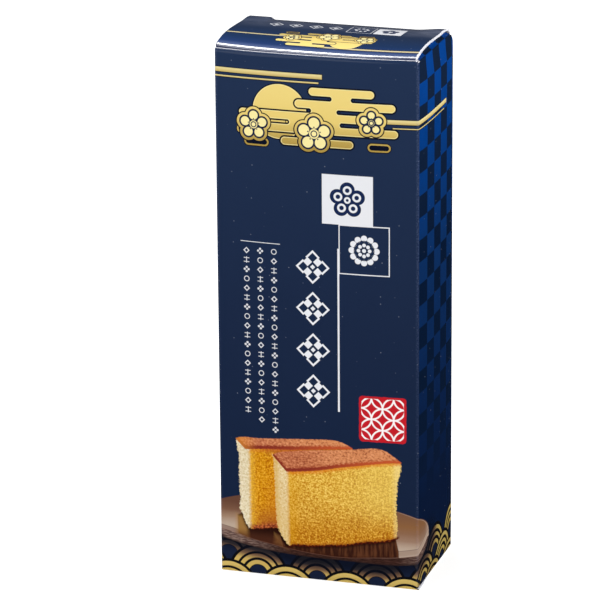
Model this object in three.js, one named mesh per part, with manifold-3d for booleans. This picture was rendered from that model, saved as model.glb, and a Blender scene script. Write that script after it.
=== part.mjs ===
// A shut tuck-end carton of printed folding board, standing upright on its base.
// Millimetres, +Z up. The front panel faces -Y, its right-hand side panel faces +X,
// and the origin is the middle of the base.
// The carton is shut and can't be seen into, so it is one closed solid with the true outer form:
// bowed panels, a domed lid over recessed dust flaps, and a base panel folded under the front.

import * as THREE from 'three';
import { mergeVertices } from 'three/addons/utils/BufferGeometryUtils.js';
import Module from 'manifold-3d';

// ---- driving dimensions ----
const WIDTH = 64.5;           // front panel, between its vertical creases
const DEPTH = 40.2;           // side panel, between its vertical creases
const HEIGHT = 170.2;         // base to the top crease of the side panels
const BOARD = 0.5;            // thickness of the board
const CORNER_RADIUS = 0.55;   // outside of a vertical crease
const FRONT_BOW = 1.9;        // how far the middle of the front panel stands out
const BACK_BOW = 0.9;
const BOW_START = 2;          // the front and back panels are straight up to this height
const SIDE_BOW = 0.75;
const BOW_END = 9;            // the bow of a side panel dies out over this much of its two ends
const LID_FRONT_HEIGHT = 171; // top of the lid's front fold
const LID_BACK_DROP = 1.1;    // the lid's back fold lies this much lower
const LID_TILT = 0.2;         // the lid's left edge is this much higher, and its right edge lower
const LID_RISE = 2.2;         // rise of the lid's arch above the line between its folds
const LID_CROWN = 20;         // depth from the front at which the arch is highest
const LID_LEFT_INSET = 0.35;  // the lid is this much narrower than the front at the left,
const LID_RIGHT_INSET = 0.5;  // and this much at the right
const LID_FRONT_RADIUS = 0.7;
const LID_BACK_RADIUS = 4.2;
const BASE_INSET = 0.5;       // the base panel is this much narrower, at each side
const BASE_FOLD_RADIUS = 0.6;
const TUCK_DEPTH = 9;         // how far the lid's and the base's tucks reach into the carton
const FLAP_SETBACK = 1.4;     // how far in the dust flaps meet the lid and the base panel
const SIDE_FOOT = 0.9;        // bottom crease of the side panels, above the base
const TUCK_GAP = 0.05;        // the tucks lie this far behind the face of the panel

// ---- values worked out from them ----
const HALF_WIDTH = WIDTH / 2;
const HALF_DEPTH = DEPTH / 2;
const LOWER_THIRD = HEIGHT / 3;
const UPPER_THIRD = 2 * HEIGHT / 3;
const LIFT_START = HEIGHT - 1.5; // the lid's arch and tilt fade in between these two heights
const LIFT_END = HEIGHT - 0.5;
const MARGIN = 3;                // the cutting outline reaches this far past the panels

// Bulge of a panel that is held at both creases: 1 in the middle, 0 at t = -1 and 1.
const bulge = (t, power) => 1 - Math.min(Math.abs(t), 1) ** power;

// 0 below the first value, 1 above the second, with a smooth step between.
const ease = (value, start, end) => THREE.MathUtils.smoothstep(value, start, end);

// The front panel is straight along its bottom fold and bows more and more over its lower third.
const frontBow = (x, z) => FRONT_BOW * bulge(x / HALF_WIDTH, 2.5) * ease(z, BOW_START, LOWER_THIRD);
const backBow = (x, z) => BACK_BOW * bulge(x / HALF_WIDTH, 2.5) * ease(z, BOW_START, LOWER_THIRD)
  * (1 - ease(z, UPPER_THIRD, HEIGHT - TUCK_DEPTH));
const sideBow = (y, z) => SIDE_BOW * bulge(y / HALF_DEPTH, 3)
  * ease(z, 0, BOW_END) * (1 - ease(z, HEIGHT - BOW_END, HEIGHT));

// Arch of the lid along its depth: 1 at the crown, 0 at the front and back folds.
function arch(y) {
  const fromCrown = y + HALF_DEPTH - LID_CROWN;
  const reach = fromCrown < 0 ? LID_CROWN : DEPTH - LID_CROWN;
  return bulge(fromCrown / reach, 3);
}

// Raises a point of the side view by the lid's arch.
function arched(point) {
  const lift = LID_RISE * arch(point.x) * ease(point.y, LIFT_START, LIFT_END);
  return new THREE.Vector2(point.x, point.y + lift);
}

// Points of an arc about (cx, cy), from one angle to another, in degrees.
function arc(cx, cy, radius, from, to, steps) {
  const points = [];
  for (let i = 0; i <= steps; i++) {
    const angle = THREE.MathUtils.degToRad(from + (to - from) * i / steps);
    points.push(new THREE.Vector2(cx + radius * Math.cos(angle), cy + radius * Math.sin(angle)));
  }
  return points;
}

// Points strictly between a and b, which let a straight side bend when it is bowed.
function between(a, b, steps) {
  const points = [];
  for (let i = 1; i < steps; i++) points.push(new THREE.Vector2().lerpVectors(a, b, i / steps));
  return points;
}

// Joins runs of points into one closed outline, with the gaps between the runs divided up.
function outline(runs, steps) {
  return runs.flatMap((run, i) => {
    const next = runs[(i + 1) % runs.length];
    return [...run, ...between(run[run.length - 1], next[0], steps[i])];
  });
}

// Plan of the four panels: a rectangle with rounded creases.
function planOutline() {
  const x = HALF_WIDTH - CORNER_RADIUS;
  const y = HALF_DEPTH - CORNER_RADIUS;
  const corners = [[-x, -y, 180], [x, -y, 270], [x, y, 0], [-x, y, 90]];
  const runs = corners.map(([cx, cy, from]) => arc(cx, cy, CORNER_RADIUS, from, from + 90, 4));
  return outline(runs, [16, 10, 16, 10]);
}

// Side view of the space that the panels fill: it starts at the bottom crease of the side panels,
// is open at the top, where the panels end level, and rounds them off at the back.
function panelOutline() {
  const corner = LID_BACK_RADIUS + LID_BACK_DROP;
  const [y, z] = [HALF_DEPTH - corner, HEIGHT - corner];
  return [
    new THREE.Vector2(-HALF_DEPTH - MARGIN, SIDE_FOOT),
    new THREE.Vector2(HALF_DEPTH + MARGIN, SIDE_FOOT),
    new THREE.Vector2(HALF_DEPTH + MARGIN, z),
    ...arc(y, z, corner, 0, 90, 6),
    new THREE.Vector2(y, HEIGHT + MARGIN),
    new THREE.Vector2(-HALF_DEPTH - MARGIN, HEIGHT + MARGIN),
  ];
}

// Side view of the lid's outer face: up behind the front panel, over the front fold, along the
// arch, over the soft back fold and down the back. `inset` gives the same path further inside.
function lidPath(inset) {
  const front = -HALF_DEPTH + TUCK_GAP + BOARD + inset;
  const back = HALF_DEPTH - TUCK_GAP - inset;
  const top = LID_FRONT_HEIGHT - inset;
  const backTop = top - LID_BACK_DROP;
  const frontRadius = LID_FRONT_RADIUS - inset;
  const backRadius = LID_BACK_RADIUS - inset;
  const foldEnd = new THREE.Vector2(front + frontRadius, top);
  const backStart = new THREE.Vector2(back - backRadius, backTop);
  return [
    new THREE.Vector2(front, HEIGHT - TUCK_DEPTH),
    ...arc(front + frontRadius, top - frontRadius, frontRadius, 180, 90, 5),
    ...between(foldEnd, backStart, 20),
    ...arc(back - backRadius, backTop - backRadius, backRadius, 90, 0, 7),
    new THREE.Vector2(back, HEIGHT - TUCK_DEPTH),
  ].map(arched);
}

// Side view of the base panel: down behind the front panel's face, round the bottom fold,
// flat along the base, up round the tuck's fold and inside the back panel.
function basePath(inset) {
  const radius = BASE_FOLD_RADIUS - inset;
  const front = -HALF_DEPTH + TUCK_GAP + inset;
  const back = HALF_DEPTH - TUCK_GAP - BOARD - inset;
  return [
    new THREE.Vector2(front, TUCK_DEPTH),
    ...arc(front + radius, inset + radius, radius, 180, 270, 5),
    ...arc(back - radius, inset + radius, radius, 270, 360, 5),
    new THREE.Vector2(back, TUCK_DEPTH),
  ];
}

// ---- solids ----
const wasm = await Module();
wasm.setup();

// A closed geometry as a solid that can be joined and cut.
function solidOf(geometry) {
  geometry.deleteAttribute('normal');
  geometry.deleteAttribute('uv');
  const merged = mergeVertices(geometry, 1e-4);
  return new wasm.Manifold(new wasm.Mesh({
    numProp: 3,
    vertProperties: new Float32Array(merged.attributes.position.array),
    triVerts: new Uint32Array(merged.index.array),
  }));
}

function geometryOf(solid) {
  const { vertProperties, triVerts } = solid.getMesh();
  const geometry = new THREE.BufferGeometry();
  geometry.setAttribute('position', new THREE.Float32BufferAttribute(vertProperties, 3));
  geometry.setIndex(new THREE.Uint32BufferAttribute(triVerts, 1));
  geometry.computeVertexNormals();
  return geometry;
}

// Moves every vertex by a function of its place.
function bend(geometry, move) {
  const position = geometry.attributes.position;
  const point = new THREE.Vector3();
  for (let i = 0; i < position.count; i++) {
    point.fromBufferAttribute(position, i);
    move(point);
    position.setXYZ(i, point.x, point.y, point.z);
  }
  return geometry;
}

// Bows each panel. The side bow fades in over the last 2 mm, so the front and back keep their lines.
function bowPanels(point) {
  const { x, y, z } = point;
  point.y += y < 0 ? -frontBow(x, z) : backBow(x, z);
  point.x += Math.sign(x) * sideBow(y, z) * ease(Math.abs(x), HALF_WIDTH - 2, HALF_WIDTH);
}

// The lid follows the bow of the front panel near its front fold, and tilts sideways.
function shapeLid(point) {
  const { x, y, z } = point;
  point.z -= LID_TILT * x / HALF_WIDTH * ease(z, LIFT_START, LIFT_END);
  point.y -= frontBow(x, z) * (1 - ease(y, -HALF_DEPTH + 1, 0));
}

// An outline in the side view, carried across the width from x = left to x = right.
function sideways(points, left, right, steps) {
  const geometry = new THREE.ExtrudeGeometry(new THREE.Shape(points),
    { depth: right - left, steps, bevelEnabled: false });
  geometry.translate(0, 0, left);
  return geometry.applyMatrix4(new THREE.Matrix4().makeBasis(
    new THREE.Vector3(0, 1, 0), new THREE.Vector3(0, 0, 1), new THREE.Vector3(1, 0, 0)));
}

// The four panels, bowed, and ended by the side outline.
function panels() {
  const plan = new THREE.ExtrudeGeometry(new THREE.Shape(planOutline()),
    { depth: HEIGHT, steps: 20, bevelEnabled: false });
  const ends = sideways(panelOutline(), -HALF_WIDTH - MARGIN, HALF_WIDTH + MARGIN, 1);
  return solidOf(bend(plan, bowPanels)).intersect(solidOf(ends));
}

// A panel with its tuck, as a sheet of board between two paths.
const sheet = (path) => [...path(0), ...path(BOARD).reverse()];

function lid() {
  const flat = sideways(sheet(lidPath), LID_LEFT_INSET - HALF_WIDTH, HALF_WIDTH - LID_RIGHT_INSET, 16);
  return solidOf(bend(flat, shapeLid));
}

function base() {
  return solidOf(sideways(sheet(basePath), BASE_INSET - HALF_WIDTH, HALF_WIDTH - BASE_INSET, 1));
}

// The filling of the carton, set back at the sides under the lid and above the base panel,
// where the dust flaps slope in.
function core() {
  const middle = BOARD / 2;
  const points = [...basePath(middle), ...lidPath(middle).reverse()];
  const half = HALF_WIDTH - FLAP_SETBACK;
  return solidOf(bend(sideways(points, -half, half, 16), shapeLid));
}

// ---- the carton ----
const printedBoard = new THREE.MeshStandardMaterial({ color: 0x1d3058, roughness: 0.35, metalness: 0 });
const carton = new THREE.Mesh(geometryOf(panels().add(core()).add(lid()).add(base())), printedBoard);
carton.name = 'carton';

const object = new THREE.Group();
object.add(carton);
export default object;
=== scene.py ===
# %% [markdown]
# # A printed folding carton
#
# A shut carton of folding board: one sheet, creased into four panels, with dust flaps at the
# sides and a lid and a base panel that tuck in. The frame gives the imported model, which is a
# plain closed solid. Here it is replaced by the folded sheet itself, half a millimetre thick,
# with its print, its varnish and its raw white edges. Lengths are in millimetres while the
# shapes are worked out, and in metres once they are in Blender.

# %% Load the frame
from math import cos, hypot, pi, radians, sin

import bpy
import numpy as np
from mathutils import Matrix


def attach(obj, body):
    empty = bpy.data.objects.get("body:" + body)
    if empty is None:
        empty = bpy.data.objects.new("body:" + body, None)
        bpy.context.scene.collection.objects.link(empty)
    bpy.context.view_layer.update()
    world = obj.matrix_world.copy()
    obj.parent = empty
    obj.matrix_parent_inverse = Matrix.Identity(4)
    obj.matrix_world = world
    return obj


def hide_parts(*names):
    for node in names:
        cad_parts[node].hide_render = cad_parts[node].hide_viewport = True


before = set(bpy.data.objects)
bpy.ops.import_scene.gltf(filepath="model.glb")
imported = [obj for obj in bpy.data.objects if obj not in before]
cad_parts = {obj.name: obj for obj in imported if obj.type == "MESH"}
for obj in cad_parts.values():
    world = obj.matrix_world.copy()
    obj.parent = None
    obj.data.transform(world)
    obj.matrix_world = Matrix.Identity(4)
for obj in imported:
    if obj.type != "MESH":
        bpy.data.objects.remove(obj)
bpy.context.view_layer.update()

MM = 0.001

# %% [markdown]
# ## The carton's sizes
#
# These are the sizes of the solid, so that the folded sheet lies exactly where the solid is.
# The front panel faces -Y and the right-hand side panel faces +X.

# %% Sizes
WIDTH = 64.5             # front panel, between its vertical creases
DEPTH = 40.2             # side panel, between its vertical creases
HEIGHT = 170.2           # base to the top crease of the side panels
BOARD = 0.5
CORNER_RADIUS = 0.55     # outside of a vertical crease
FRONT_BOW = 1.9          # how far the middle of the front panel stands out
BACK_BOW = 0.9
SIDE_BOW = 0.75
BOW_END = 9.0            # the bow of a side panel dies out over this much of its two ends
PANEL_BULGE = 2.5        # powers of the bulges: the higher, the flatter in the middle
SIDE_BULGE = LID_BULGE = 3
FOOT_HELD = 2.0          # the front and back panels stay straight this far up from the base
LID_FRONT_HEIGHT = 171.0
LID_BACK_DROP = 1.1      # the back fold lies this much lower than the front fold
LID_TILT = 0.2           # the lid's left edge is this much higher, and its right edge lower
LID_RISE = 2.2           # rise of the lid's arch above the line between its folds
LID_CROWN = 20.0         # depth from the front at which the arch is highest
FOLD_SAG = 0.25          # the middle of the front fold lies this much lower than its ends
LID_LEFT_INSET = 0.35    # the lid is cut this much narrower than the front at the left
LID_RIGHT_INSET = 0.5    # and this much at the right
LID_FRONT_RADIUS = 0.7
LID_BACK_RADIUS = 4.2
BASE_INSET = 0.5         # the base panel is this much narrower behind its front fold
BASE_FOLD_RADIUS = 0.6
BASE_PROUD = 0.3         # the base's cut edge stands out by this at the front right corner
SIDE_FOOT = 0.9          # bottom crease of the side panels, above the base
BACK_FOOT = 0.5          # bottom edge of the back panel
FRONT_EDGE = HEIGHT - 0.05
FRONT_EDGE_RISE = 0.5    # the front panel's cut edge is this much higher at its two ends
FRONT_EDGE_NOTCH = 0.1   # and this much lower in the last millimetre, beside the crease
TUCK_DEPTH = 9.0
LIFT_START, LIFT_END = HEIGHT - 1.5, HEIGHT - 0.5    # the lid's arch fades in between these
LEFT_EAR, RIGHT_EAR = (0.75, 24.2, 25.4), (0.78, 21, 30.5)    # rise of an ear, and x of its slope
PLAY = 0.05              # gap between two sheets that lie on each other
CREASE_RADIUS = 0.5      # at the dust flaps

HALF_WIDTH = WIDTH / 2
HALF_DEPTH = DEPTH / 2
X_FLAT = HALF_WIDTH - CORNER_RADIUS
Y_FLAT = HALF_DEPTH - CORNER_RADIUS
LID_LEFT, LID_RIGHT = LID_LEFT_INSET - HALF_WIDTH, HALF_WIDTH - LID_RIGHT_INSET
print(f"panels {WIDTH} x {DEPTH} x {HEIGHT} mm, board {BOARD} mm")

# %% [markdown]
# ## How the board bends
#
# A printed panel is never flat. It is held straight at its creases and bulges between them,
# and the lid arches from front to back. Each bulge is one formula on whole arrays, and the
# same formulas shape every piece, so neighbouring pieces keep touching.

# %% Bends
def ease(value, start, end):
    """0 below start, 1 above end, and 3t^2 - 2t^3 between."""
    t = np.clip((value - start) / (end - start), 0, 1)
    return t * t * (3 - 2 * t)


def bulge(t, power):
    """1 - |t|^power: 1 in the middle and 0 at t = -1 and 1."""
    return 1 - np.minimum(np.abs(t), 1) ** power


def field(*parts):
    """One array of points from arrays of their coordinates, each spread to the common shape."""
    return np.stack(np.broadcast_arrays(*parts), -1)


def front_bow(x, z):
    return FRONT_BOW * bulge(x / HALF_WIDTH, PANEL_BULGE) * ease(z, FOOT_HELD, HEIGHT / 3)


def back_bow(x, z):
    top = 1 - ease(z, 2 * HEIGHT / 3, HEIGHT - TUCK_DEPTH)
    foot = ease(z, FOOT_HELD, HEIGHT / 3)
    return BACK_BOW * bulge(x / HALF_WIDTH, PANEL_BULGE) * foot * top


def side_bow(y, z):
    held = ease(z, 0, BOW_END) * (1 - ease(z, HEIGHT - BOW_END, HEIGHT))
    return SIDE_BOW * bulge(y / HALF_DEPTH, SIDE_BULGE) * held


print("front bow at mid height:", round(float(front_bow(0.0, HEIGHT / 2)), 2), "mm")


# %% [markdown]
# The lid's back fold is perforated, and the board beyond the perforation stands up a little at
# both of its ends. At the left it stops in a short torn step, and at the right it runs out.

# %% Bends of the lid
LID_FRONT = -HALF_DEPTH + BOARD + PLAY + LID_FRONT_RADIUS    # where the lid's two folds end
LID_BACK = HALF_DEPTH - LID_BACK_RADIUS


def arch(y):
    """The lid along its depth: 1 at the crown, 0 at the front and back folds."""
    from_crown = y + HALF_DEPTH - LID_CROWN
    reach = np.where(from_crown < 0, LID_CROWN, DEPTH - LID_CROWN)
    return bulge(from_crown / reach, LID_BULGE)


def lid_line(y):
    """Height of the straight line from the end of the front fold to the end of the back fold."""
    share = np.clip((y - LID_FRONT) / (LID_BACK - LID_FRONT), 0, 1)
    return LID_FRONT_HEIGHT - LID_BACK_DROP * share


def back_ears(x, y):
    """How far the two ends of the back fold stand up: a step at the left, a slope at the right."""
    rise = sum(most * ease(out, *slope) for (most, *slope), out in ((LEFT_EAR, -x), (RIGHT_EAR, x)))
    return rise * ease(y, HALF_DEPTH - 15, HALF_DEPTH - 5)


def lid_lift(x, y):
    """How far the lid lies above that line: arch, tilt, sag in front and ears behind."""
    sag = FOLD_SAG * bulge(x / HALF_WIDTH, LID_BULGE) * (1 - ease(y, -HALF_DEPTH, 12 - HALF_DEPTH))
    return LID_RISE * arch(y) - LID_TILT * x / HALF_WIDTH - sag + back_ears(x, y)


def bow_panels(points):
    """Moves the points of the straight panels outwards by the bulge of the panel they are on."""
    x, y, z = points[..., 0], points[..., 1], points[..., 2]
    on_side = ease(np.abs(x), HALF_WIDTH - 2, HALF_WIDTH)
    return field(x + np.sign(x) * side_bow(y, z) * on_side,
                 y + np.where(y < 0, -front_bow(x, z), back_bow(x, z)), z)


def shape_lid(points):
    """The front fold follows the front panel's bulge, and the top rises by lid_lift."""
    x, y, z = points[..., 0], points[..., 1], points[..., 2]
    forward = front_bow(x, z) * (1 - ease(y, -HALF_DEPTH + 1, 0))
    raised = lid_lift(x, y) * ease(z, LIFT_START, LIFT_END)
    return field(x, y - forward, z + raised)


crown_y = LID_CROWN - HALF_DEPTH
crown_z = lid_line(crown_y) + lid_lift(np.array([-HALF_WIDTH, 0, HALF_WIDTH]), crown_y)
print("height of the lid's crown at its left edge, middle and right edge:", crown_z.round(2))


# %% [markdown]
# ## Patches of board
#
# A patch is a grid of points and a grid of artwork coordinates, both in millimetres. The
# artwork coordinate u runs round the carton from the front-left crease, and v runs upwards, so
# a stripe that crosses a crease meets itself on the next panel. Patches that share a crease
# are welded, then Solidify gives the sheet its thickness and its raw white rims.

# %% Lines that patches follow
def arc(cx, cy, radius_x, radius_y, start, end, steps=6):
    """Points of an arc about (cx, cy) between two angles in degrees."""
    angle = np.radians(np.linspace(start, end, steps + 1))
    return field(cx + radius_x * np.cos(angle), cy + radius_y * np.sin(angle))


def straight(a, b, steps):
    """Evenly spaced points from a to b."""
    return np.linspace(np.array(a, float), np.array(b, float), steps + 1)


def joined(*runs):
    """One path from several runs, with each shared end kept once."""
    return np.concatenate([runs[0]] + [run[1:] for run in runs[1:]])


def run_length(path):
    """Distance along a path of points, from its start."""
    return np.concatenate([[0], np.cumsum(np.linalg.norm(np.diff(path, axis=0), axis=1))])


# %% Make a piece from its patches
WELD_GAP = 0.004


def add_thing(name, data):
    """An object of the scene that holds a mesh, a lamp or a camera."""
    thing = bpy.data.objects.new(name, data)
    bpy.context.scene.collection.objects.link(thing)
    return thing


def add_piece(name, patches, materials, raw):
    """One welded sheet from patches of (points, artwork coordinates, material number).

    The quads of a grid join each point to the next along its row and its column. The sheet
    gets its thickness inwards, and everything but the printed face is raw board.
    """
    points, faces, uvs, slots, start = [], [], [], [], 0
    for grid, uv, slot in patches:
        rows, cols = grid.shape[:2]
        index = np.arange(rows * cols).reshape(rows, cols)
        quads = np.stack([index[:-1, :-1], index[:-1, 1:], index[1:, 1:], index[1:, :-1]], -1)
        quads = quads.reshape(-1, 4)
        points.append(grid.reshape(-1, 3))
        faces.append(quads + start)
        uvs.append(uv.reshape(-1, 2)[quads].reshape(-1, 2))
        slots.append(np.full(len(quads), slot, np.int32))
        start += rows * cols
    mesh = bpy.data.meshes.new(name)
    mesh.from_pydata(np.concatenate(points) * MM, [], np.concatenate(faces))
    for material in [*materials, raw]:
        mesh.materials.append(material)
    mesh.polygons.foreach_set("material_index", np.concatenate(slots))
    layer = mesh.uv_layers.new(name="artwork")
    layer.data.foreach_set("uv", np.concatenate(uvs).astype(np.float32).ravel())
    mesh.shade_smooth()

    piece = add_thing(name, mesh)
    weld = piece.modifiers.new("Weld", "WELD")
    weld.merge_threshold = WELD_GAP * MM
    sheet = piece.modifiers.new("Board", "SOLIDIFY")
    sheet.thickness = BOARD * MM
    sheet.offset = -1
    sheet.use_even_offset = True
    sheet.use_rim = True
    sheet.material_offset = sheet.material_offset_rim = len(materials)
    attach(piece, "root")
    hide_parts("carton")
    print(f"{name}: {len(patches)} patches, {len(mesh.polygons)} faces before its thickness")


# %% [markdown]
# ## The sleeve
#
# The four panels and their dust flaps. Each vertical crease is a narrow patch of its own, a
# quarter of a circle in plan. The sheet closes at the back left: the back panel turns the
# corner and carries a glue flap inside the left panel, whose raw edge shows there.

# %% Artwork coordinates of the creases
U_RIGHT = 64.0                     # front right: the artwork is registered to this crease
U_LEFT = U_RIGHT - WIDTH           # front left
U_BACK_RIGHT = U_RIGHT + DEPTH
U_BACK_LEFT = U_BACK_RIGHT + WIDTH
V_BASE = 0.4                       # the artwork begins this far above the base
print("artwork u of the creases:", U_LEFT, U_RIGHT, U_BACK_RIGHT, U_BACK_LEFT)


# %% Outline of the panels
EDGE_POWER = 12          # keeps the rise of the front's cut edge close to its two ends


def panel_top(y, x=0.0):
    """Height at which the board ends: level along the sides, and rounded off at the back."""
    corner = LID_BACK_RADIUS + LID_BACK_DROP
    level = HEIGHT - CREASE_RADIUS
    front = FRONT_EDGE + FRONT_EDGE_RISE * np.abs(x / HALF_WIDTH) ** EDGE_POWER
    front = front - (FRONT_EDGE_RISE + FRONT_EDGE_NOTCH) * ease(x, X_FLAT - 0.6, X_FLAT - 0.1)
    from_front = ease(y, -HALF_DEPTH, 0.2 - HALF_DEPTH)
    over = np.clip(y - (HALF_DEPTH - corner), 0, corner)
    rounded = HEIGHT - corner + np.sqrt(corner ** 2 - over ** 2)
    return np.minimum(front + (level - front) * from_front, rounded)


def panel_foot(y):
    """Height at which the board begins: at the base fold in front, and a cut edge behind."""
    lifted = (SIDE_FOOT - BASE_FOLD_RADIUS) * ease(y, -HALF_DEPTH, 2.5 - HALF_DEPTH)
    return BASE_FOLD_RADIUS + lifted + (BACK_FOOT - SIDE_FOOT) * ease(y, Y_FLAT, HALF_DEPTH)


def upright(plan, u_start, u_end, slot, rows=96):
    """A patch that stands on a plan line, from the foot to the top of the board at each point."""
    along = u_start + (u_end - u_start) * run_length(plan) / run_length(plan)[-1]
    low, high = panel_foot(plan[:, 1]), panel_top(plan[:, 1], plan[:, 0])
    z = low + (high - low) * np.linspace(0, 1, rows + 1)[:, None]
    return bow_panels(field(plan[:, 0], plan[:, 1], z)), field(along, z - V_BASE), slot


print("the side panels end at", float(panel_top(0.0)), "mm and begin at", float(panel_foot(0.0)))


# %% [markdown]
# A dust flap turns in at the crease of a side panel. The lid presses on it and it springs up
# against the lid, so a strip of its print shows between the crease and the lid's edge.

# %% Dust flaps
FLAP_REACH, FOOT_FLAP_REACH = 9.0, 8.0
FLAP_GAP = 0.15          # between a flap and the underside of the lid
SIDE_Y = np.linspace(-Y_FLAT, Y_FLAT, 61)
FLAP_TURN = np.linspace(0, 1, 9)
FLAP_RUN = np.linspace(0, 1, 15)[1:] ** 1.5


def flap(side, slot, x, y, z, v):
    """The patch of a flap at the right (side 1) or, with its columns turned round, at the left."""
    u = U_RIGHT + y + HALF_DEPTH if side > 0 else U_LEFT - (y + HALF_DEPTH)
    return field(x, y, z)[:, ::side], field(u, v)[:, ::side], slot


def top_flap(side, slot):
    """A quarter turn at the crease, then a rise that ends against the underside of the lid."""
    y = SIDE_Y[1:-5]
    start = FLAP_TURN * pi / 3
    turned = CREASE_RADIUS * (1 - np.cos(start)), CREASE_RADIUS * np.sin(start)
    inwards = np.concatenate([turned[0], turned[0][-1] + FLAP_RUN * FLAP_REACH])[:, None]
    x = side * (HALF_WIDTH + side_bow(y, panel_top(y)) - inwards)
    lid_under = lid_line(y) + lid_lift(x, y) - BOARD - FLAP_GAP
    z = panel_top(y) + np.concatenate([turned[1], np.full(len(FLAP_RUN), turned[1][-1])])[:, None]
    z = z + (lid_under - z) * ease(inwards, 0.2, 2.4)
    return flap(side, slot, x, y, z, HEIGHT - CREASE_RADIUS - V_BASE + inwards * 1.4)


def foot_flap(side, slot):
    """A quarter turn at the foot of the side panel, then level above the base panel."""
    y = SIDE_Y[3:-2]
    turn = FLAP_TURN * pi / 2
    level = 1 + FLAP_RUN * FOOT_FLAP_REACH / CREASE_RADIUS
    inwards = CREASE_RADIUS * np.concatenate([1 - np.cos(turn), level])[::-1, None]
    drop = CREASE_RADIUS * np.concatenate([np.sin(turn), np.ones(len(level))])[::-1, None]
    z = panel_foot(y) - drop
    x = side * (HALF_WIDTH + side_bow(y, SIDE_FOOT) - inwards)
    return flap(side, slot, x, y, z, z - V_BASE - inwards)


print("a dust flap reaches", FLAP_REACH, "mm in under the lid")


# %% Patches of the sleeve
FRONT, SIDE, BACK = 0, 1, 2
GLUE_FLAP, GLUE_STEP, SEAM = 12, 0.02, 0.1    # its width, its step inwards, the gap beside it


def half_corners(cx, cy, start, u, slots):
    """A vertical crease as two patches, one in the finish of each panel that it joins."""
    middle = start + 45
    patches = []
    for a, b, slot in ((start, middle, slots[0]), (middle, start + 90, slots[1])):
        plan = arc(cx, cy, CORNER_RADIUS, CORNER_RADIUS, a, b, 4)
        ends = [u + (angle - middle) / 45 * CORNER_RADIUS for angle in (a, b)]
        patches.append(upright(plan, *ends, slot))
    return patches


def sleeve_patches():
    """Front, right, back and left panels with their creases, flaps and the glue flap.

    The columns of the front lie at the sines of even angles, so close together at its ends,
    where the cut edge bends most.
    """
    r = CORNER_RADIUS
    glue_x = X_FLAT + GLUE_STEP
    turn = arc(-X_FLAT, Y_FLAT, GLUE_STEP, r, 90, 180)
    glue = straight((-glue_x, Y_FLAT), (-glue_x, Y_FLAT - GLUE_FLAP), 10)
    right_plan = field(HALF_WIDTH, SIDE_Y)
    left_plan = right_plan[::-1] * (-1, 1)
    left_plan[0, 1] -= SEAM
    front_plan = field(X_FLAT * np.sin(np.linspace(-pi / 2, pi / 2, 89)), -HALF_DEPTH)
    return [
        upright(front_plan, U_LEFT + r, U_RIGHT - r, FRONT),
        *half_corners(X_FLAT, -Y_FLAT, 270, U_RIGHT, (FRONT, SIDE)),
        upright(right_plan, U_RIGHT + r, U_BACK_RIGHT - r, SIDE),
        *half_corners(X_FLAT, Y_FLAT, 0, U_BACK_RIGHT, (SIDE, BACK)),
        upright(straight((X_FLAT, HALF_DEPTH), (-X_FLAT, HALF_DEPTH), 76), U_BACK_RIGHT + r,
                U_BACK_LEFT - r, BACK),
        upright(joined(turn, glue), U_BACK_LEFT - r, U_BACK_LEFT + GLUE_FLAP, BACK),
        upright(left_plan, U_LEFT - DEPTH + r, U_LEFT - r, SIDE),
        *half_corners(-X_FLAT, -Y_FLAT, 180, U_LEFT, (SIDE, FRONT)),
        top_flap(1, SIDE), top_flap(-1, SIDE), foot_flap(1, SIDE), foot_flap(-1, SIDE),
    ]


# %% [markdown]
# ## The lid and the base
#
# The lid comes off the back panel in a soft fold, arches forward, and tucks in behind the
# front panel with a tighter fold. The base panel comes off the front panel in the same way and
# tucks in behind the back panel. Both are one path in the side view carried across the width.

# %% Lid and base
def across(path, left, right, columns):
    """A path of (y, z) carried across the width; its ends may differ from point to point."""
    ends = [np.broadcast_to(end, len(path))[:, None] for end in (left, right)]
    x = ends[0] + (ends[1] - ends[0]) * np.linspace(0, 1, columns + 1)
    return field(x, path[:, :1], path[:, 1:])


def lid_patch(slot=0):
    """Up behind the front panel, over the front fold, along the arch and round the back fold."""
    top, r, back_r = LID_FRONT_HEIGHT, LID_FRONT_RADIUS, LID_BACK_RADIUS
    front, back_top = LID_FRONT - r, top - LID_BACK_DROP
    tuck = straight((front, HEIGHT - TUCK_DEPTH), (front, top - r), 8)
    path = joined(tuck, arc(LID_FRONT, top - r, r, r, 180, 90, 12),
                  straight((LID_FRONT, top), (LID_BACK, back_top), 60),
                  arc(LID_BACK, back_top - back_r, back_r, back_r, 90, 0, 14),
                  straight((HALF_DEPTH, back_top - back_r), (HALF_DEPTH, panel_top(HALF_DEPTH)), 2))
    grid = shape_lid(across(path, LID_LEFT, LID_RIGHT, 150))
    fold = len(tuck) + 11
    along = run_length(path) - run_length(path)[fold] + LID_FRONT + HALF_DEPTH
    return grid, field(grid[..., 0], along[:, None]), slot


def base_patch(slot=0):
    """Up inside the back panel, round the tuck's fold, flat, and up to the front panel's foot."""
    r, back = BASE_FOLD_RADIUS, HALF_DEPTH - BOARD - PLAY
    path = joined(straight((back, TUCK_DEPTH), (back, r), 6), arc(back - r, r, r, r, 0, -90, 8),
                  straight((back - r, 0), (-HALF_DEPTH + r, 0), 20),
                  arc(-HALF_DEPTH + r, r, r, r, -90, -180, 8))
    depth = path[:, 0] + HALF_DEPTH
    left = HALF_WIDTH - PLAY - (BASE_INSET - PLAY) * ease(depth, r, 4)
    right = HALF_WIDTH + BASE_PROUD - (BASE_INSET + BASE_PROUD) * ease(depth, 3, 15)
    grid = across(path, -left, right, 60)
    along = run_length(path) - run_length(path)[-1] + r - V_BASE
    return grid, field(grid[..., 0] + HALF_WIDTH + U_LEFT, along[:, None]), slot


lid_grid = lid_patch()[0]
print("the lid reaches", round(float(lid_grid[..., 2].max()), 2), "mm above the base")


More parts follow.
